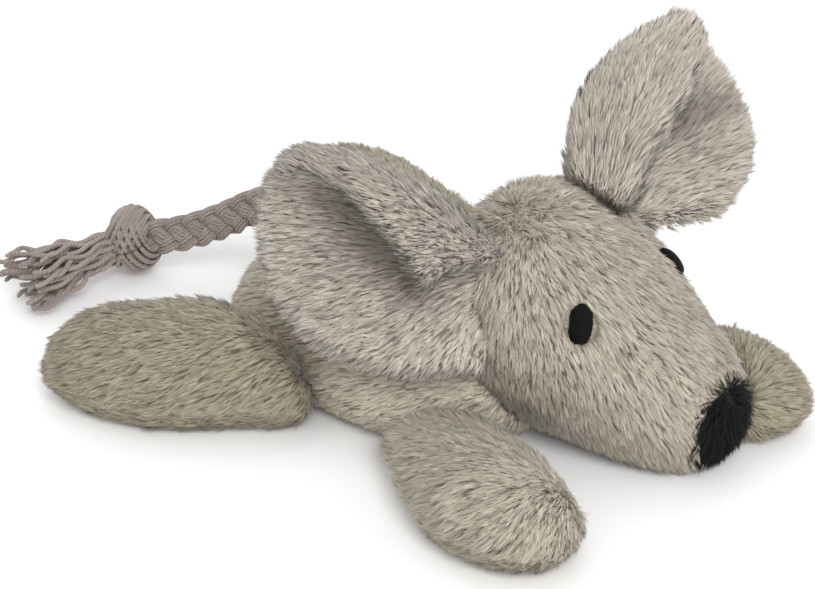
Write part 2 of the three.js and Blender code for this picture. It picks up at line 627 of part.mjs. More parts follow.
// The tail hangs on the top of the rope's root.
const tail = new THREE.Group();
tail.name = 'tail';
tail.position.copy(ropeRoot);
tail.add(
  meshOf('tail_rope', ropeSolid, ROPE),
  meshOf('tail_knot', knotSolid, ROPE),
  meshOf('tail_tassel', tassel.subtract(below(0)).subtract(knotRoom), ROPE),
);
tail.children.forEach((piece) => piece.position.copy(tail.position).negate());
mouse.add(tail);

export default mouse;
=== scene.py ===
import json
import math

import bpy
import numpy as np
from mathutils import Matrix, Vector
from mathutils.bvhtree import BVHTree
from mathutils.kdtree import KDTree


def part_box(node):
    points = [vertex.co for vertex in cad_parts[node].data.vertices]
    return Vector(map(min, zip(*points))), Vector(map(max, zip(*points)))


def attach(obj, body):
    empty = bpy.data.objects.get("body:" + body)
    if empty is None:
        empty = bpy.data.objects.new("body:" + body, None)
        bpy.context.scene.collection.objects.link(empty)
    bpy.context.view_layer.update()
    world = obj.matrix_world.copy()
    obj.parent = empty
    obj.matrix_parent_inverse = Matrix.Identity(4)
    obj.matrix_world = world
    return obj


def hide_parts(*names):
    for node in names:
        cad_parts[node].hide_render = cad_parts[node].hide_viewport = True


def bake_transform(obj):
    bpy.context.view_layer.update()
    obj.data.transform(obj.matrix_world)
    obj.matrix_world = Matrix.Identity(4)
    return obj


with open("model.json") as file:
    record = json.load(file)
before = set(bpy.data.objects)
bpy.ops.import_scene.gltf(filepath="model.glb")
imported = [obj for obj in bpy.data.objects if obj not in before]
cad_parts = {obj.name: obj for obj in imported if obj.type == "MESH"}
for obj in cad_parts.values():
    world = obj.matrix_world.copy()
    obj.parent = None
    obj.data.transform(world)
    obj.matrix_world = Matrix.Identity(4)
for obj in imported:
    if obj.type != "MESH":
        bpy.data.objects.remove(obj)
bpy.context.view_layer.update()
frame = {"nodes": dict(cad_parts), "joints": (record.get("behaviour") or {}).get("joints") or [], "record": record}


# Camera: a long lens from the mouse's right front, a little above it, as the photograph was taken.
MM = 0.001
EYE = Vector((428.0, -415.0, 337.4)) * MM
AIM = Vector((21.5, -22.4, 36.9)) * MM
lens = bpy.data.cameras.new("camera")
lens.sensor_fit = "HORIZONTAL"
lens.sensor_width = 36
lens.lens = 130
lens.clip_start = 0.01
camera = bpy.data.objects.new("camera", lens)
camera.location = EYE
camera.rotation_euler = (AIM - EYE).to_track_quat("-Z", "Y").to_euler()
bpy.context.scene.collection.objects.link(camera)
bpy.context.scene.camera = camera


# Tail rope: a flat plait of four strands, each a bundle of soft cotton yarns, about 8.6 mm wide. It is
# sewn into the rump, rises out of it and sinks to the floor.
TAIL_ROUTE = np.array([
    [-34, 1.2, 18.9], [-38, 1.5, 21.6], [-41.5, 1.8, 23.7], [-45, 2, 25], [-48.5, 1.9, 25.4],
    [-52, 1.5, 24.6], [-55, 1, 23.1], [-58, 0.2, 21.2], [-61, -0.8, 19.1], [-64, -2, 17.1],
    [-67, -3.4, 15.3], [-70, -5, 13.6], [-73, -6.7, 12.2], [-76, -8.6, 11], [-79, -10.6, 10.2],
    [-81.5, -12.3, 9.5],
]) * MM
PLAIT_STRANDS = 4
PLAIT_PERIOD = 20.8 * MM
PLAIT_HALF_WIDTH = 2.6 * MM
PLAIT_HALF_DEPTH = 1.35 * MM
YARNS_A_STRAND = 11
YARN_RADIUS = 0.42 * MM
STRAND_HALF_WIDTH = 1.5 * MM
STRAND_HALF_DEPTH = 0.75 * MM
COTTON = (0.330, 0.280, 0.252)
COTTON_GROOVE_SHADE = (0.160, 0.130, 0.114)


def unit(v):
    return v / np.maximum(np.linalg.norm(v, axis=-1, keepdims=True), 1e-12)


def new_piece(name, points, faces):
    """An object of equal-sided faces, shaded smooth, in the scene."""
    points, faces = np.asarray(points, np.float32), np.asarray(faces, np.int32)
    mesh = bpy.data.meshes.new(name)
    mesh.vertices.add(len(points))
    mesh.vertices.foreach_set("co", points.ravel())
    mesh.loops.add(faces.size)
    mesh.loops.foreach_set("vertex_index", faces.ravel())
    mesh.polygons.add(len(faces))
    mesh.polygons.foreach_set("loop_start", np.arange(0, faces.size, faces.shape[1], dtype=np.int32))
    mesh.update(calc_edges=True)
    mesh.shade_smooth()
    piece = bpy.data.objects.new(name, mesh)
    bpy.context.scene.collection.objects.link(piece)
    return piece


def note(piece, name, values):
    """One number a point, for the piece's material to read."""
    attribute = piece.data.attributes.new(name, "FLOAT", "POINT")
    attribute.data.foreach_set("value", np.asarray(values, np.float32).ravel())


def smooth_line(points, step):
    """Points at even steps along a smooth curve through the given ones."""
    points = np.asarray(points, float)
    padded = np.vstack([2 * points[0] - points[1], points, 2 * points[-1] - points[-2]])
    fine = []
    for a, b, c, d in zip(padded, padded[1:], padded[2:], padded[3:]):
        for t in np.linspace(0, 1, 24, endpoint=False):
            fine.append(0.5 * (2 * b + (c - a) * t + (2 * a - 5 * b + 4 * c - d) * t * t
                               + (3 * b - a - 3 * c + d) * t ** 3))
    fine = np.array(fine + [points[-1]])
    along = np.concatenate([[0], np.cumsum(np.linalg.norm(np.diff(fine, axis=0), axis=1))])
    at = np.linspace(0, along[-1], int(round(along[-1] / step)) + 1)
    return np.stack([np.interp(at, along, fine[:, i]) for i in range(3)], 1), at


def yarn_piece(name, lines, radius, sides=7, closed=False):
    """Tubes along lines of points, with notes of how far along and round each point lies."""
    points, faces, along, around, tone = [], [], [], [], []
    random = np.random.default_rng(len(name))
    for line in lines:
        line = np.asarray(line, float)
        ahead = np.roll(line, -1, 0) - np.roll(line, 1, 0) if closed else np.gradient(line, axis=0)
        tangent = unit(ahead)
        side = np.cross(tangent[0], (0.3, 0.2, 0.93))
        start, count, shade = sum(map(len, points)), len(line), random.uniform(-1, 1)
        run = np.concatenate([[0], np.cumsum(np.linalg.norm(np.diff(line, axis=0), axis=1))])
        for i in range(count):
            side = unit(side - tangent[i] * np.dot(side, tangent[i]))
            up = np.cross(tangent[i], side)
            turn = 2 * math.pi * np.arange(sides) / sides
            thick = radius if closed else radius * min(1, 0.55 + 0.45 * min(i, count - 1 - i))
            points.append(line[i] + thick * (np.cos(turn)[:, None] * side + np.sin(turn)[:, None] * up))
            along.append(np.full(sides, run[i]))
            around.append(turn)
            tone.append(np.full(sides, shade))
        for i in range(count if closed else count - 1):
            near, far = start + i * sides, start + (i + 1) % count * sides
            for k in range(sides):
                a, b = near + k, near + (k + 1) % sides
                c, d = far + k, far + (k + 1) % sides
                faces += [(a, b, d), (a, d, c)]
        if not closed:
            for end, flip in ((0, True), (count - 1, False)):
                points.append(line[end][None])
                along.append(run[end:end + 1])
                around.append(np.zeros(1))
                tone.append(np.full(1, shade))
                tip, ring = start + count * sides + (end > 0), start + end * sides
                for k in range(sides):
                    pair = (ring + k, ring + (k + 1) % sides)
                    faces.append((pair[1], pair[0], tip) if flip else (pair[0], pair[1], tip))
    piece = new_piece(name, np.vstack(points), faces)
    note(piece, "along", np.concatenate(along))
    note(piece, "around", np.concatenate(around))
    note(piece, "tone", np.concatenate(tone))
    return piece


class Shader:
    """A material's node tree, with short calls for the nodes that the pieces need."""

    def __init__(self, name):
        self.material = bpy.data.materials.new(name)
        self.material.use_nodes = True
        self.tree = self.material.node_tree
        self.surface = self.tree.nodes["Principled BSDF"]

    def node(self, kind, inputs=(), **settings):
        made = self.tree.nodes.new(kind)
        for key, value in settings.items():
            setattr(made, key, value)
        for socket, value in dict(inputs).items():
            if isinstance(value, bpy.types.NodeSocket):
                self.tree.links.new(value, made.inputs[socket])
            else:
                made.inputs[socket].default_value = value
        return made

    def note(self, name):
        return self.node("ShaderNodeAttribute", attribute_name=name).outputs["Fac"]

    def math(self, operation, *values):
        return self.node("ShaderNodeMath", dict(enumerate(values)), operation=operation).outputs[0]

    def place(self):
        return self.node("ShaderNodeTexCoord").outputs["Object"]

    def noise(self, size, detail=3, vector=None):
        """Cloudy noise whose lumps are about that many metres wide."""
        inputs = {"Vector": vector or self.place(), "Scale": 1 / size, "Detail": detail}
        return self.node("ShaderNodeTexNoise", inputs).outputs["Fac"]

    def mix(self, share, a, b):
        made = self.node("ShaderNodeMix", data_type="RGBA")
        for socket, value in ((made.inputs[0], share), (made.inputs[6], a), (made.inputs[7], b)):
            if isinstance(value, bpy.types.NodeSocket):
                self.tree.links.new(value, socket)
            else:
                socket.default_value = (*value, 1) if isinstance(value, tuple) else value
        return made.outputs[2]

    def bright(self, colour, value):
        return self.node("ShaderNodeHueSaturation", {"Color": colour, "Value": value}).outputs["Color"]

    def span(self, value, low, high):
        """A share from 0 to 1, spread over low to high."""
        inputs = {"Value": value, "To Min": low, "To Max": high}
        return self.node("ShaderNodeMapRange", inputs).outputs["Result"]

    def bump(self, height, distance, strength=1.0):
        inputs = {"Height": height, "Distance": distance, "Strength": strength}
        self.link("Normal", self.node("ShaderNodeBump", inputs).outputs["Normal"])

    def link(self, socket, output):
        self.tree.links.new(output, self.surface.inputs[socket])

    def set(self, **sockets):
        for name, value in sockets.items():
            self.surface.inputs[name.replace("_", " ")].default_value = value


def cotton(name, ply=2.4 * MM):
    """Soft two-ply cotton yarn: slanting plies, darker towards the grooves between them as painted shade, and pale
    and dark fibres.
    """
    shader = Shader(name)
    turns = shader.math("MULTIPLY", shader.note("along"), 2 * math.pi / ply)
    slant = shader.math("ADD", turns, shader.note("around"))
    wave = shader.math("SINE", shader.math("MULTIPLY", slant, 2.0))
    plies = shader.math("MULTIPLY_ADD", wave, 0.5, 0.5)
    fibres = shader.noise(0.18 * MM, detail=4)
    # Painted shade: the colour darkens towards the grooves between the plies, where the bump sinks.
    colour = shader.mix(shader.math("MULTIPLY", plies, 0.55), COTTON_GROOVE_SHADE, COTTON)
    colour = shader.mix(shader.span(fibres, 0.25, 0.95), colour, tuple(1.22 * c for c in COTTON))
    colour = shader.bright(colour, shader.math("MULTIPLY_ADD", shader.note("tone"), 0.1, 1.0))
    shader.link("Base Color", colour)
    shader.link("Roughness", shader.span(fibres, 0.72, 0.95))
    shader.bump(shader.math("ADD", plies, shader.math("MULTIPLY", fibres, 0.6)), 0.16 * MM)
    shader.set(Sheen_Weight=0.25, Sheen_Roughness=0.4, Specular_IOR_Level=0.2)
    return shader.material


rope_line, rope_run = smooth_line(TAIL_ROUTE, 0.6 * MM)
rope_tangent = unit(np.gradient(rope_line, axis=0))
facing = np.array((EYE - AIM).normalized())
rope_face = unit(facing - rope_tangent * (rope_tangent @ facing)[:, None])
rope_side = np.cross(rope_tangent, rope_face)
rope_yarns = []
for strand in range(PLAIT_STRANDS):
    phase = 2 * math.pi * (rope_run / PLAIT_PERIOD + strand / PLAIT_STRANDS)
    middle = (rope_line + rope_side * (PLAIT_HALF_WIDTH * np.cos(phase))[:, None]
              + rope_face * (PLAIT_HALF_DEPTH * np.sin((PLAIT_STRANDS - 1) * phase))[:, None])
    ahead = unit(np.gradient(middle, axis=0))
    over = unit(rope_face - ahead * (rope_face * ahead).sum(1)[:, None])
    aside = np.cross(ahead, over)
    for yarn in range(YARNS_A_STRAND):
        turn = 2 * math.pi * (yarn + 0.5) / YARNS_A_STRAND
        rope_yarns.append(middle + STRAND_HALF_WIDTH * math.cos(turn) * aside
                          + STRAND_HALF_DEPTH * math.sin(turn) * over)
rope = yarn_piece("tail_rope_plait", rope_yarns, YARN_RADIUS)
rope.data.materials.append(cotton("tail_cotton_plait"))


# Knot: the plait is tied in one overhand knot. Its yarns lie side by side in two tilted wraps that
# squeeze the rope in the middle.
KNOT_MIDDLE = np.array([-84.8, -14.6, 8.8]) * MM
KNOT_AXIS = unit(np.array([-0.832, -0.555, 0.0]))
KNOT_RADIUS = 8.4 * MM
KNOT_WRAP = 4.0 * MM
KNOT_YARNS = 28
KNOT_CORES = (1.0, 0.55)
KNOT_TILTS = ((30, 1.0, 1.7), (-24, 0.98, -1.5))  # degrees, size and shift in millimetres
knot_up = np.array([0.0, 0.0, 1.0])
knot_side = np.cross(knot_up, KNOT_AXIS)
knot_yarns = []
for tilt, size, shift in KNOT_TILTS:
    tilted = math.cos(math.radians(tilt)) * KNOT_AXIS + math.sin(math.radians(tilt)) * knot_up
    lift = np.cross(tilted, knot_side)
    turn = np.linspace(0, 2 * math.pi, 72, endpoint=False)
    for layer in KNOT_CORES:
        for yarn in range(int(KNOT_YARNS * layer)):
            place = 2 * math.pi * yarn / int(KNOT_YARNS * layer) + 0.3 * np.sin(turn + yarn % 2)
            wrap = layer * (KNOT_WRAP - YARN_RADIUS)
            reach = size * (KNOT_RADIUS - KNOT_WRAP) + wrap * np.cos(place)
            off = shift * MM + 1.15 * wrap * np.sin(place)
            line = (KNOT_MIDDLE + off[:, None] * tilted
                    + reach[:, None] * (np.cos(turn)[:, None] * knot_side + np.sin(turn)[:, None] * lift))
            line[:, 2] = np.maximum(line[:, 2], YARN_RADIUS)
            knot_yarns.append(line)
knot = yarn_piece("tail_knot_wraps", knot_yarns, YARN_RADIUS * 1.15, closed=True)
knot.data.materials.append(cotton("tail_cotton_knot"))
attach(knot, "tail")
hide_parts("tail_knot")


# Frayed end: the rope's yarns come out of the knot unplaited, wavy from the plait, and spread out
# on the floor with uneven ends.
TASSEL_YARNS = 40
TASSEL_LENGTH = 29 * MM
TASSEL_HEADING = math.radians(264)
TASSEL_RADIUS = 0.6 * MM
tuft_axis = np.array([math.cos(TASSEL_HEADING), math.sin(TASSEL_HEADING), 0.0])
tuft_side = np.array([-tuft_axis[1], tuft_axis[0], 0.0])
random = np.random.default_rng(11)
tuft_yarns = []
for k in range(TASSEL_YARNS):
    ring = 3.4 * MM * math.sqrt((k + 0.5) / TASSEL_YARNS)
    turn = k * 2.39996
    aside, over = ring * math.cos(turn), ring * math.sin(turn)
    length = TASSEL_LENGTH * random.uniform(0.78, 1.02)
    share = np.linspace(0, 1, 40)
    fan = aside * (1 + 2.2 * share ** 1.2) + random.uniform(-2.4, 2.4) * MM * share
    wave = random.uniform(0.5, 1.15) * MM * np.minimum(share * 3, 1)
    pitch = 2 * math.pi * length / (random.uniform(9, 13) * MM)
    start = random.uniform(0, 2 * math.pi)
    fan = fan + wave * np.sin(pitch * share + start)
    level = KNOT_MIDDLE[2] - 1.2 * MM * np.sin(share * math.pi / 2)
    level = level + over * (1 + 1.3 * share) + 0.7 * wave * np.cos(pitch * share + start)
    line = (KNOT_MIDDLE + tuft_axis * (5.0 * MM + length * share)[:, None] + tuft_side * fan[:, None])
    line[:, 2] = np.maximum(level, TASSEL_RADIUS + 0.05 * MM)
    tuft_yarns.append(line)
tassel = yarn_piece("tail_tassel_yarns", tuft_yarns, TASSEL_RADIUS)
tassel.data.materials.append(cotton("tail_cotton_frayed"))
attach(tassel, "tail")
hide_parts("tail_tassel")

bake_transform(rope)
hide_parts("tail_rope")


# Body: a back panel and a belly panel of long-pile plush, sewn together round the side. The pile is
# about 3.5 mm long, lies towards the rump and down the sides, and sticks together in small tufts.
PLUSH = ((0.255, 0.222, 0.165), (0.430, 0.382, 0.298), (0.620, 0.565, 0.465))
PILE_LENGTH = 3.5 * MM
PILE_LIFT = 22.0
STRANDS_A_MM2 = 13.0
TUFTS_A_MM2 = 1.3
TUFT_SLIMNESS = 3.2
STRAND_RADIUS = 0.105 * MM
SOFTNESS = 0.78
TUFT_ROUNDNESS = 0.6
PILE_DEPTH = 0.8 * MM
PILE_ROOM = 0.6 * MM
ROOT_DEPTH = 0.35 * MM
BEND_AT = 0.45
COVERED_SHARE = 0.6
TUFT_STREAK = 0.23
BODY_PAINTED_LIGHT = 0.6
DRIFT = np.array([[390.0, 210.0], [-250.0, 430.0], [310.0, -370.0]])


def solids_tree(nodes):
    """The surfaces of some solids, to look for what lies near a place."""
    points, faces = [], []
    for node in nodes:
        mesh = frame["nodes"][node].data
        mesh.calc_loop_triangles()
        first = len(points)
        points += [v.co.copy() for v in mesh.vertices]
        faces += [[first + i for i in t.vertices] for t in mesh.loop_triangles]
    return BVHTree.FromPolygons(points, faces)


# What a panel is sewn to or stuffed with: the solids that move with it. An ear's root is sewn into the
# head, so for the ears all solids count.
solid_tree = solids_tree(frame["nodes"])
sewn_trees = {}
for body, members in frame["record"]["behaviour"]["bodies"].items():
    tree = solid_tree if body.startswith("ear") else solids_tree(members)
    sewn_trees.update(dict.fromkeys(members, tree))


def are_bare(tree, places, normals, depth):
    """Which places on a panel face the open, and not a solid of the tree that lies close over them."""
    bare = []
    for place, normal in zip(places, normals):
        normal = Vector(normal)
        above = Vector(place) + normal * (depth + 0.3 * MM)
        hit, facing, _, distance = tree.ray_cast(above, normal, 0.4)
        bare.append(hit is None or (facing.dot(normal) < 0 and distance > PILE_ROOM))
    return np.array(bare)


def backing(node, colours, voxel=0.9 * MM, inset=PILE_DEPTH):
    """The knitted cloth of a panel: the panel's solid, evened out, and thinned by the pile's depth where
    it shows, but not at its seams."""
    cloth = bpy.data.objects.new(node + "_cloth", frame["nodes"][node].data.copy())
    bpy.context.scene.collection.objects.link(cloth)
    cloth.data.materials.clear()
    even = cloth.modifiers.new("even", "REMESH")
    even.mode, even.voxel_size = "VOXEL", voxel
    relax = cloth.modifiers.new("relax", "SMOOTH")
    relax.factor, relax.iterations = 0.5, 4
    mesh = bpy.data.meshes.new_from_object(cloth.evaluated_get(bpy.context.evaluated_depsgraph_get()))
    cloth.modifiers.clear()
    cloth.data = mesh
    places, normals = np.zeros((len(mesh.vertices), 3)), np.zeros((len(mesh.vertices), 3))
    mesh.vertices.foreach_get("co", places.ravel())
    mesh.vertices.foreach_get("normal", normals.ravel())
    bare = are_bare(sewn_trees[node], places, normals, 0.0)
    places[bare] -= inset * normals[bare]
    mesh.vertices.foreach_set("co", places.ravel())
    mesh.update()
    mesh.shade_smooth()
    shader = Shader(node + "_knit")
    loops = shader.noise(0.35 * MM, detail=2)
    patches = shader.span(shader.noise(2.5 * MM), 0.1, 0.9)
    shader.link("Base Color", shader.mix(patches, colours[0], tuple(0.8 * c for c in colours[1])))
    shader.link("Roughness", shader.span(loops, 0.8, 1.0))
    shader.bump(loops, 0.2 * MM)
    shader.set(Sheen_Weight=0.2, Specular_IOR_Level=0.15)
    mesh.materials.append(shader.material)
    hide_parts(node)
    return cloth


def fur(node, colours, sheen):
    """Pile fibres: dark at the root and pale at the tip, no two tufts of quite the same shade; the tone note also
    carries painted shade between the tufts and each panel's painted light or shade.
    """
    shader = Shader(node + "_fibres")
    along = shader.note("along")
    lower = shader.node("ShaderNodeMapRange", {"Value": along, "From Max": 0.45}).outputs["Result"]
    upper = shader.node("ShaderNodeMapRange", {"Value": along, "From Min": 0.4}).outputs["Result"]
    colour = shader.mix(upper, shader.mix(lower, colours[0], colours[1]), colours[2])
    patches = shader.span(shader.noise(16 * MM, detail=2), 0.9, 1.1)
    value = shader.math("ADD", shader.math("MULTIPLY", shader.note("tone"), TUFT_STREAK), patches)
    shader.link("Base Color", shader.bright(colour, value))
    fibres = shader.noise(0.2 * MM, detail=2)
    shader.link("Roughness", shader.span(fibres, 0.55, 0.85))
    shader.bump(fibres, 0.06 * MM)
    shader.set(Sheen_Weight=sheen, Sheen_Roughness=0.35, Specular_IOR_Level=0.2)
    return shader.material


def roots(mesh, per_mm2, random):
    """Places spread evenly over a mesh, with the surface's direction there."""
    mesh.calc_loop_triangles()
    corners = np.zeros(len(mesh.loop_triangles) * 3, np.int32)
    mesh.loop_triangles.foreach_get("vertices", corners)
    corners = corners.reshape(-1, 3)
    points, normals = np.zeros(len(mesh.vertices) * 3), np.zeros(len(mesh.vertices) * 3)
    mesh.vertices.foreach_get("co", points)
    mesh.vertices.foreach_get("normal", normals)
    points, normals = points.reshape(-1, 3)[corners], normals.reshape(-1, 3)[corners]
    area = np.linalg.norm(np.cross(points[:, 1] - points[:, 0], points[:, 2] - points[:, 0]), axis=1) / 2
    count = int(area.sum() * 1e6 * per_mm2)
    share = (np.arange(count) + random.random(count)) / count
    pick = np.searchsorted(np.cumsum(area) / area.sum(), share)
    pick = np.minimum(pick, len(area) - 1)
    u, v = random.random(count), random.random(count)
    u, v = np.where(u + v > 1, 1 - u, u), np.where(u + v > 1, 1 - v, v)
    weights = np.stack([1 - u - v, u, v], 1)[..., None]
    return (points[pick] * weights).sum(1), unit((normals[pick] * weights).sum(1))


def pile(node, cloth, nap, colours, length=PILE_LENGTH, lift=PILE_LIFT, strands=STRANDS_A_MM2,
         depth=PILE_DEPTH, keep=None, painted_light=None, sheen=0.25):
    """The pile of one panel, a closed strand for each bundle of fibres. nap gives the way that the pile lies at
    its roots, keep the share of its length that a strand from a root to a tip keeps, and the third function how
    much lighter a strand is painted: painted light, or painted shade where it is negative."""
    random = np.random.default_rng(sum(map(ord, node)))
    place, normal = roots(cloth.data, strands, random)
    bare = are_bare(sewn_trees[node], place, normal, depth)
    place, normal = place[bare], normal[bare]
    count = len(place)

    leads = random.choice(count, int(count * TUFTS_A_MM2 / strands), replace=False)
    tree = KDTree(len(leads))
    for i, lead in enumerate(leads):
        tree.insert(place[lead], i)
    tree.balance()
    way = unit(nap(place))
    ending = np.clip((way * normal).sum(1), 0, 1)
    way = unit(way - normal * (way * normal).sum(1)[:, None])
    across = np.cross(normal, way)
    nearest = np.array([[found[1] for found in tree.find_n(p, 6)] for p in place])
    away = place[leads][nearest] - place[:, None]
    aside = TUFT_SLIMNESS * (away * across[:, None]).sum(2)
    choice = np.argmin(aside ** 2 + (away * way[:, None]).sum(2) ** 2, axis=1)
    tuft = nearest[np.arange(count), choice]
    edge = np.clip(np.abs(aside[np.arange(count), choice]) * math.sqrt(TUFTS_A_MM2 * 1e6), 0, 1.5) ** 2

    drift = np.sin(place @ DRIFT + [0.4, 1.9]).sum(1)
    stray = 0.11 * drift + random.normal(0, 0.11, len(leads))[tuft] + random.normal(0, 0.08, count)
    way = way * np.cos(stray)[:, None] + across * np.sin(stray)[:, None]
    rise = lift + random.normal(0, 6, len(leads))[tuft] + random.normal(0, 3, count)
    rise = np.radians(rise - 3 * edge)
    rise = np.clip(rise + 0.8 * (math.pi / 2 - rise) * ending ** 2, 0.1, 1.4)
    long = 1 + random.normal(0, 0.12, len(leads))[tuft] + random.normal(0, 0.08, count)
    long = length * (long - 0.1 * edge)

    def leaning(angle):
        return way * np.cos(angle)[:, None] + normal * np.sin(angle)[:, None]

    # Under the mouse the pile is pressed flat, and under or beside another piece it has less room.
    covered = ~are_bare(solid_tree, place, normal, depth)
    pressed = np.clip((2.0 * MM - place[:, 2]) / (2.0 * MM), 0, 1) * np.clip(-normal[:, 2], 0, 1)
    rise = rise * (1 - 0.9 * pressed)
    long = long * (1 - 0.6 * pressed) * np.where(covered, COVERED_SHARE, 1)
    heading = leaning(rise)
    for i in range(count):
        at, along = Vector(place[i] + normal[i] * 1.3 * MM), Vector(heading[i])
        hit, facing, _, distance = solid_tree.ray_cast(at, along, long[i])
        if hit is not None and facing.dot(along) < 0:
            long[i] = max(distance, 0.3 * length)
    if keep is not None:
        long = long * keep(place, place + heading * long[:, None])

    first = np.minimum(rise + 0.3, 1.45)
    last = rise - 0.22
    pull = place[leads][tuft] - place
    lump = across * (pull * across).sum(1)[:, None] * -TUFT_SLIMNESS * math.sqrt(TUFTS_A_MM2 * 1e6)
    lump = lump / np.maximum(np.linalg.norm(lump, axis=1, keepdims=True), 1)
    soft = SOFTNESS * unit(normal + TUFT_ROUNDNESS * lump)
    root = place - normal * ROOT_DEPTH
    bend = place + BEND_AT * long[:, None] * leaning(first) + 0.1 * pull
    tip = bend + (1 - BEND_AT) * long[:, None] * leaning(last) + 0.28 * pull
    for ring, least in ((root, 0.30), (bend, 0.35), (tip, 0.1)):
        ring[:, 2] = np.maximum(ring[:, 2], least * MM)

    axis = unit(tip - root)
    right = unit(np.cross(axis, normal) + 1e-9)
    over = np.cross(axis, right)
    thick = STRAND_RADIUS * (1 + random.normal(0, 0.15, count))[:, None]
    spin = random.random(count) * 2 * math.pi
    points, facing = [root], [normal]
    for k in range(3):
        turn = spin + 2 * math.pi * k / 3
        out = np.cos(turn)[:, None] * right + np.sin(turn)[:, None] * over
        points.append(bend + thick * out)
        facing.append(unit(soft + (1 - SOFTNESS) * out))
    points = np.stack(points + [tip], 1)
    facing = np.stack(facing + [unit(soft + (1 - SOFTNESS) * axis)], 1)
    one = np.array([(0, 2, 1), (0, 3, 2), (0, 1, 3), (1, 2, 4), (2, 3, 4), (3, 1, 4)])
    faces = (one[None] + 5 * np.arange(count)[:, None, None]).reshape(-1, 3)
    fibre = new_piece(node + "_pile", points.reshape(-1, 3), faces)
    fibre.data.normals_split_custom_set_from_vertices(facing.reshape(-1, 3).astype(np.float32))
    note(fibre, "along", np.tile([0, 0.5, 0.5, 0.5, 1], count))
    # Strands towards a tuft's edge are painted darker: painted shade in the valleys between the tufts. The rest of
    # the tone differs at random from tuft to tuft and strand to strand.
    shade = random.normal(0, 0.6, len(leads))[tuft] + random.normal(0, 0.4, count) + 0.45 - 0.9 * edge
    # Painted light or painted shade, as the panel's function gives it.
    if painted_light is not None:
        shade = shade + painted_light(place)
    note(fibre, "tone", np.repeat(np.clip(shade, -1.9, 1.5), 5))

    # Each strand has its own cell in the piece's map.
    cells = math.ceil(math.sqrt(count))
    corner = np.stack([np.arange(count) % cells, np.arange(count) // cells], 1)
    spot = np.array([(0.5, 0.1), (0.1, 0.5), (0.5, 0.5), (0.9, 0.5), (0.5, 0.9)])
    spots = ((corner[:, None] + spot[None]) / cells).reshape(-1, 2)
    chart = fibre.data.uv_layers.new(name="OFBake")
    chart.data.foreach_set("uv", spots[faces.ravel()].astype(np.float32).ravel())
    fibre.data.materials.append(fur(node, colours, sheen))
    return fibre


def body_nap(place):
    way = np.tile([-0.85, 0.0, -0.45], (len(place), 1))
    way[:, 1] = 0.012 * place[:, 1] / MM
    return way


# Painted light: the body's strands are made lighter all over, to make up for the shade that the ear and the head
# cast on the body.
def painted_light_all_over(root):
    return np.full(len(root), BODY_PAINTED_LIGHT)


BODY_CUTS = {"body_back_panel": ((0.084, 0.106), 0.0066), "body_belly_panel": ((0.072, 0.096), 0.0055)}
for node, (cut, area) in BODY_CUTS.items():
    cloth = backing(node, PLUSH)
    fibre = pile(node, cloth, body_nap, PLUSH, painted_light=painted_light_all_over)
    for piece in (cloth, fibre):
        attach(piece, "body")


# Head: a left and a right panel of the same plush, sewn together over the crown and under the chin and
# sewn to the body at the neck. The pile fans out from the crown, down the cheeks and along the snout.
HEAD_PLUSH = ((0.215, 0.186, 0.140), (0.405, 0.357, 0.286), (0.600, 0.545, 0.460))
CROWN = np.array([31.0, 1.0, 54.0]) * MM
NECK_START = (6 * MM, 7.3 * MM, 30 * MM)
NECK_END = (25 * MM, 10.5 * MM, 30 * MM)
EYE_CLEARING = 3.6 * MM


def head_nap(place):
    away = place - CROWN
    curl = np.exp(-(np.linalg.norm(away, axis=1, keepdims=True) / (9 * MM)) ** 2)
    return unit(away) + np.array([0.08, 0.0, -0.42]) + 1.4 * curl * np.sin(place[:, [1, 2, 0]] * 2300 + 1)


EYES = {}
for side in ("left", "right"):
    low, high = (np.array(corner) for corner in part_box(f"eye_{side}"))
    EYES[side] = (low + high) / 2
nose_middle = np.mean([np.array(corner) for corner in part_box("nose_patch")], axis=0)


def clear_of_face(root, tip):
    """Strands keep off the eyes and the nose: none starts under an eye, and none reaches far over one."""
    share = np.clip((np.linalg.norm(tip - nose_middle, axis=1) - 8 * MM) / (4 * MM), 0.3, 1)
    for middle in EYES.values():
        for part in (1.0, 0.8, 0.6, 0.4, 0.2, 0.0):
            at = root + (tip - root) * part
            inside = np.linalg.norm(at - middle, axis=1) < EYE_CLEARING
            share = np.where(inside, max(part - 0.2, 0.12), share)
    return share


# Painted shade: the pile is darker round the crown, where it parts.
def painted_shade_at_crown(root):
    return -0.9 * np.exp(-(np.linalg.norm(root - CROWN, axis=1) / (10 * MM)) ** 2)


for node in ("head_left_panel", "head_right_panel"):
    cloth = backing(node, HEAD_PLUSH)
    fibre = pile(node, cloth, head_nap, HEAD_PLUSH, keep=clear_of_face, painted_light=painted_shade_at_crown)
    for piece in (cloth, fibre):
        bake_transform(piece)


# Nose: a small patch of black plush over the end of the snout, sewn to both head panels. Its pile is
# a little longer, stands up more and falls forwards and down.
NOSE = ((0.002, 0.002, 0.0023), (0.0045, 0.0045, 0.005), (0.011, 0.011, 0.012))
SNOUT = np.array([81.0, 20.0, 16.0]) * MM


def nose_nap(place):
    return unit(place - SNOUT) * 0.7 + np.array([0.1, 0.0, -0.6])


cloth = backing("nose_patch", NOSE)
fibre = pile("nose_patch", cloth, nose_nap, NOSE, length=4.2 * MM, lift=30, strands=8.0, sheen=0.0)
for piece in (cloth, fibre):
    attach(piece, "head")


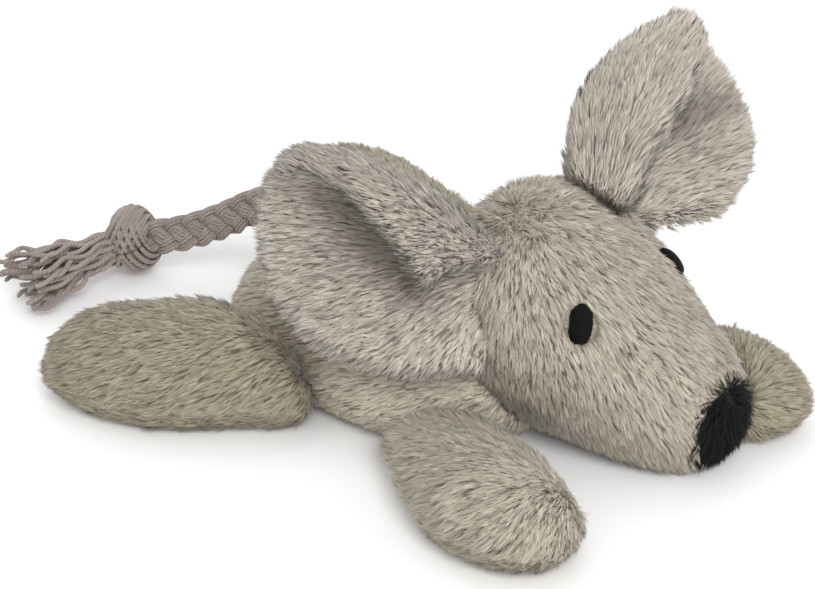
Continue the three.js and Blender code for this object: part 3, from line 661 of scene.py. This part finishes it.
# Eyes: ovals of black thread in satin stitch, sewn through the cheeks. The stitches lie side by side
# across the oval and swell over its middle.
EYE_HALF_LENGTH = 4.3 * MM
EYE_HALF_WIDTH = 2.35 * MM
EYE_SWELL = 2.3 * MM
EYE_UPRIGHT = {"right": np.array([-0.24, 0.43, 0.88])}
HEAD_SIDE = np.array([-0.165, 0.986, 0.0])
HEAD_MIDDLE = np.array([45.0, 14.0, 25.0]) * MM
EYE_UPRIGHT["left"] = EYE_UPRIGHT["right"] - 2 * (EYE_UPRIGHT["right"] @ HEAD_SIDE) * HEAD_SIDE
STITCHES = 21
STITCH_RADIUS = 0.27 * MM
for side in ("left", "right"):
    points = np.array([v.co for v in frame["nodes"][f"eye_{side}"].data.vertices])
    eye_out = np.linalg.svd(points - points.mean(0), full_matrices=False)[2][2]
    eye_out = eye_out * np.sign(np.dot(eye_out, EYES[side] - HEAD_MIDDLE))
    eye_long = unit(EYE_UPRIGHT[side] - eye_out * (EYE_UPRIGHT[side] @ eye_out))
    eye_across = np.cross(eye_long, eye_out)
    stitches = []
    for at in np.linspace(-0.97, 0.97, STITCHES):
        half = EYE_HALF_WIDTH * (1 - abs(at) ** 2.8) ** (1 / 2.8) + 0.2 * MM
        step = np.linspace(-1, 1, 13)
        high = EYE_SWELL * np.sqrt(np.maximum(1 - at * at * 0.7 - step * step * 0.95, 0)) - 0.7 * MM
        stitches.append(EYES[side] + EYE_HALF_LENGTH * at * eye_long + half * step[:, None] * eye_across
                        + high[:, None] * eye_out)
    eye = yarn_piece(f"eye_{side}_stitches", stitches, STITCH_RADIUS)
    shader = Shader(f"eye_{side}_thread")
    threads = shader.noise(0.12 * MM, detail=3)
    turns = shader.math("MULTIPLY", shader.note("along"), 9000.0)
    ply = shader.math("SINE", shader.math("ADD", turns, shader.note("around")))
    shade = shader.mix(threads, (0.001, 0.001, 0.0012), (0.006, 0.006, 0.007))
    tone = shader.math("MULTIPLY_ADD", shader.note("tone"), 0.3, 1.0)
    shader.link("Base Color", shader.bright(shade, tone))
    shader.link("Roughness", shader.span(threads, 0.45, 0.7))
    shader.bump(shader.math("ADD", shader.math("MULTIPLY", ply, 0.5), threads), 0.06 * MM)
    shader.set(Specular_IOR_Level=0.12)
    eye.data.materials.append(shader.material)
    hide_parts(f"eye_{side}")
    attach(eye, "head")


# Ears: each is a front and a back panel of plush, sewn together round the rim, pinched at the root,
# folded over and sewn into the side of the crown. The pile runs from the root to the rim.
EAR = ((0.270, 0.237, 0.194), (0.450, 0.402, 0.338), (0.650, 0.597, 0.523))
EAR_PILE_DEPTH = 0.4 * MM
EAR_SINK = {"left": 5.5 * MM, "right": 4.0 * MM}
EAR_DRAWN = 12.0 * MM
DRAWN_TO = {"left": np.array([46.0, 20.0, 30.0]) * MM, "right": np.array([35.0, 12.0, 30.0]) * MM}
# Painted light and shade on the ears' pile: painted shade darkens each ear, the right one more, as its hollow lies
# under its flap; a painted shadow runs along the fold line on each front panel; painted light brightens the pile
# towards the rim.
HOLLOW_PAINTED_SHADE = {"left": 0.5, "right": 1.0}
FOLD_LINES = {
    "left": (np.array([29.6, 53.4, 55.0]) * MM, np.array([32.0, 66.2, 56.7]) * MM),
    "right": (np.array([9.5, -29.4, 57.8]) * MM, np.array([25.5, -22.3, 41.8]) * MM),
}
RIM_PAINTED_LIGHT = 1.1
EAR_RADIUS = 26 * MM
FOLD_PAINTED_SHADOW = 2.0
FOLD_REACH = 5.0 * MM
joints = {joint["child"]: joint for joint in frame["joints"]}


def sink(piece, side, hinge, out):
    """Draw the ear's root into the crown, where it is sewn in."""
    points = np.zeros(len(piece.data.vertices) * 3)
    piece.data.vertices.foreach_get("co", points)
    points = points.reshape(-1, 3)
    near = np.clip(1 - ((points - hinge) @ out + 2 * MM) / EAR_DRAWN, 0, 1)
    drawn = EAR_SINK[side] * (near * near * (3 - 2 * near))
    points += drawn[:, None] * unit(DRAWN_TO[side] - hinge)
    piece.data.vertices.foreach_set("co", points.ravel())
    piece.data.update()


for side in ("left", "right"):
    hinge = np.array(joints[f"ear_{side}"]["pos_m"])
    low, high = (np.array(corner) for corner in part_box(f"ear_{side}_back_panel"))
    out = unit((low + high) / 2 - hinge)

    def ear_nap(place, root=hinge - 6 * MM * out):
        return unit(place - root)

    def clear_of_seam(root, tip, hinge=hinge, out=out):
        return np.clip(((root - hinge) @ out + 5 * MM) / (4 * MM), 0.35, 1)

    for node, fold_shadow in ((f"ear_{side}_front_panel", FOLD_PAINTED_SHADOW), (f"ear_{side}_back_panel", 0.0)):
        def ear_painted_light(root, middle=(low + high) / 2, side=side, fold_shadow=fold_shadow):
            """Painted light towards the rim, painted shade over the whole ear, and a painted shadow along the fold
            on the front panel.
            """
            start, end = FOLD_LINES[side]
            share = np.clip((root - start) @ (end - start) / np.sum((end - start) ** 2), 0, 1)
            apart = np.linalg.norm(root - start - share[:, None] * (end - start), axis=1)
            rim = RIM_PAINTED_LIGHT * (np.linalg.norm(root - middle, axis=1) / EAR_RADIUS) ** 2
            return rim - HOLLOW_PAINTED_SHADE[side] - fold_shadow * np.exp(-(apart / FOLD_REACH) ** 2)

        cloth = backing(node, EAR, voxel=0.8 * MM, inset=EAR_PILE_DEPTH)
        fibre = pile(node, cloth, ear_nap, EAR, length=3.7 * MM, lift=28, depth=EAR_PILE_DEPTH,
                     keep=clear_of_seam, painted_light=ear_painted_light)
        for piece in (cloth, fibre):
            sink(piece, side, hinge, out)
            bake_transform(piece)


# Legs: flat paddles of an upper and a lower panel, stuffed, and sewn to the body's side along their
# root. A foreleg's pile spreads from a pinch in its seam by the cheek, and a hind leg's runs backwards.
# A darker copy of the plush, painted shade for the legs in shade: the left foreleg and the hind legs. The right
# foreleg, in the light, has the lighter PLUSH.
SHADED_LEG_PLUSH = ((0.185, 0.158, 0.106), (0.302, 0.262, 0.186), (0.470, 0.416, 0.318))
LEG_CUTS = {
    "foreleg_left_upper_panel": ((0.030, 0.062), 0.0013),
    "foreleg_left_lower_panel": ((0.036, 0.064), 0.0016),
    "foreleg_right_upper_panel": ((0.036, 0.064), 0.0018),
    "foreleg_right_lower_panel": ((0.036, 0.064), 0.0016),
    "hindleg_left_upper_panel": ((0.048, 0.074), 0.0026),
    "hindleg_left_lower_panel": ((0.040, 0.070), 0.0018),
    "hindleg_right_upper_panel": ((0.048, 0.074), 0.0026),
    "hindleg_right_lower_panel": ((0.040, 0.070), 0.0018),
}
NAP_STARTS = {
    "foreleg_left": (76.0, 26.0, 14.0), "foreleg_right": (76.0, -26.0, 14.0),
    "hindleg_left": (14.0, 8.0, 24.0), "hindleg_right": (22.0, -6.0, 24.0),
}
leg_bends = {}
for leg, start in NAP_STARTS.items():
    hinge = np.array(joints[leg]["pos_m"])
    low, high = (np.array(corner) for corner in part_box(f"{leg}_upper_panel"))
    out = unit(((low + high) / 2 - hinge) * [1, 1, 0])
    leg_bends[leg] = {"start": hinge - 8 * MM * out, "end": hinge + 8 * MM * out}
    # Painted shade: the same plush, lighter on the right foreleg and darker on the others.
    colours = PLUSH if leg == "foreleg_right" else SHADED_LEG_PLUSH
    for part, fall in (("upper", -0.3), ("lower", 0.35)):
        node = f"{leg}_{part}_panel"
        cut, area = LEG_CUTS[node]

        def leg_nap(place, start=np.array(start) * MM, fall=fall):
            return unit((place - start) * [1, 1, 0.4]) + np.array([0.0, 0.0, fall])

        cloth = backing(node, colours)
        fibre = pile(node, cloth, leg_nap, colours)
        for piece in (cloth, fibre):
            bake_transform(piece)


# Filling: wads of loose white fibre that swell each stuffed piece and fill it up to its cloth. A wad isn't fixed
# to its cloth; the body's moves with the body, and that of the head or a leg isn't attached to any body.
LUMPS = np.array([[900.0, 410.0, -620.0], [350.0, -780.0, 530.0], [-480.0, 640.0, 870.0]])


def wad(node, voxel=1.6 * MM, tease=0.5 * MM):
    """A wad in the form of the solid, teased into soft lumps that stay within it."""
    piece = bpy.data.objects.new(node + "_wad", frame["nodes"][node].data.copy())
    bpy.context.scene.collection.objects.link(piece)
    piece.data.materials.clear()
    even = piece.modifiers.new("even", "REMESH")
    even.mode, even.voxel_size = "VOXEL", voxel
    mesh = bpy.data.meshes.new_from_object(piece.evaluated_get(bpy.context.evaluated_depsgraph_get()))
    piece.modifiers.clear()
    piece.data = mesh
    points, normals = np.zeros(len(mesh.vertices) * 3), np.zeros(len(mesh.vertices) * 3)
    mesh.vertices.foreach_get("co", points)
    mesh.vertices.foreach_get("normal", normals)
    points, normals = points.reshape(-1, 3), normals.reshape(-1, 3)
    lumps = np.sin(points @ LUMPS).sum(1)
    points -= normals * (tease * (0.5 + lumps / 6))[:, None]
    mesh.vertices.foreach_set("co", points.ravel())
    mesh.update()
    mesh.shade_smooth()
    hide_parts(node)
    return piece


FILLED = {"body": None, "head": {"start": NECK_START, "end": NECK_END}, **leg_bends}
for body, bend in FILLED.items():
    node = f"{body}_filling"
    filling = wad(node)
    shader = Shader(node + "_fibre")
    wisps = shader.noise(1.5 * MM, detail=6)
    shader.link("Base Color", shader.mix(wisps, (0.62, 0.6, 0.55), (0.9, 0.88, 0.83)))
    shader.link("Roughness", shader.span(wisps, 0.85, 1.0))
    shader.bump(wisps, 0.6 * MM)
    shader.set(Sheen_Weight=0.3, Specular_IOR_Level=0.2)
    filling.data.materials.append(shader.material)
    if bend is None:
        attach(filling, body)
    else:
        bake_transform(filling)


# Catnip pouch: two sheets of thin cotton, sewn together round the edge, on the belly panel under the
# filling, with crumbled dried catnip in it.
for node in ("pouch_upper_sheet", "pouch_lower_sheet"):
    cloth = bpy.data.objects.new(node + "_cloth", frame["nodes"][node].data.copy())
    bpy.context.scene.collection.objects.link(cloth)
    cloth.data.materials.clear()
    shader = Shader(node + "_weave")
    threads = []
    for direction in "XY":
        inputs = {"Vector": shader.place(), "Scale": 420.0, "Distortion": 0.6}
        wave = shader.node("ShaderNodeTexWave", inputs, bands_direction=direction)
        threads.append(wave.outputs["Fac"])
    weave = shader.math("MULTIPLY", *threads)
    shader.link("Base Color", shader.mix(weave, (0.60, 0.55, 0.44), (0.80, 0.75, 0.64)))
    shader.link("Roughness", shader.span(weave, 0.8, 0.95))
    shader.bump(weave, 0.1 * MM)
    shader.set(Specular_IOR_Level=0.2)
    cloth.data.materials.append(shader.material)
    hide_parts(node)
    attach(cloth, "body")

herb = wad("dried_catnip", voxel=0.7 * MM, tease=0.6 * MM)
shader = Shader("catnip_crumbs")
crumbs = shader.noise(0.9 * MM, detail=5)
shader.link("Base Color", shader.mix(crumbs, (0.08, 0.10, 0.035), (0.30, 0.31, 0.14)))
shader.link("Roughness", shader.span(crumbs, 0.85, 1.0))
shader.bump(crumbs, 0.5 * MM)
shader.set(Specular_IOR_Level=0.15)
herb.data.materials.append(shader.material)
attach(herb, "body")


# Floor, world and lamps: a pale floor that keeps a soft shadow, a white background and an even studio
# light with one large soft lamp from the front right and a weak one from behind.
AMBIENT = 0.74
floor = new_piece("floor", [(-6, -6, 0), (6, -6, 0), (6, 6, 0), (-6, 6, 0)], [(0, 1, 2, 3)])
shader = Shader("floor_paper")
paper = shader.noise(3 * MM)
shader.link("Base Color", shader.mix(paper, (0.95, 0.95, 0.95), (0.97, 0.97, 0.97)))
shader.set(Roughness=0.9, Specular_IOR_Level=0.1)
floor.data.materials.append(shader.material)

world = bpy.data.worlds.new("studio")
bpy.context.scene.world = world
world.use_nodes = True
nodes, links = world.node_tree.nodes, world.node_tree.links
nodes.clear()
rays = nodes.new("ShaderNodeLightPath")
seen = rays.outputs["Is Camera Ray"]
for name in ("Is Glossy Ray", "Is Transmission Ray"):
    either = nodes.new("ShaderNodeMath")
    either.operation = "MAXIMUM"
    links.new(seen, either.inputs[0])
    links.new(rays.outputs[name], either.inputs[1])
    seen = either.outputs[0]
strength = nodes.new("ShaderNodeMapRange")
strength.inputs["To Min"].default_value = AMBIENT
strength.inputs["To Max"].default_value = 1.0
links.new(seen, strength.inputs["Value"])
sky = nodes.new("ShaderNodeBackground")
sky.inputs["Color"].default_value = (1, 1, 1, 1)
links.new(strength.outputs["Result"], sky.inputs["Strength"])
links.new(sky.outputs[0], nodes.new("ShaderNodeOutputWorld").inputs["Surface"])

LAMPS = {  # strength, softness in degrees and heading
    "softbox": (2.0, 35.0, (-0.66, 0.40, -0.62)),
    "back_fill": (0.6, 60.0, (0.60, -0.45, -0.65)),
}
for name, (energy, angle, heading) in LAMPS.items():
    lamp = bpy.data.lights.new(name, "SUN")
    lamp.energy = energy
    lamp.angle = math.radians(angle)
    stand = bpy.data.objects.new(name, lamp)
    stand.rotation_euler = Vector(heading).to_track_quat("-Z", "Y").to_euler()
    bpy.context.scene.collection.objects.link(stand)
bpy.context.scene.view_settings.view_transform = "Standard"
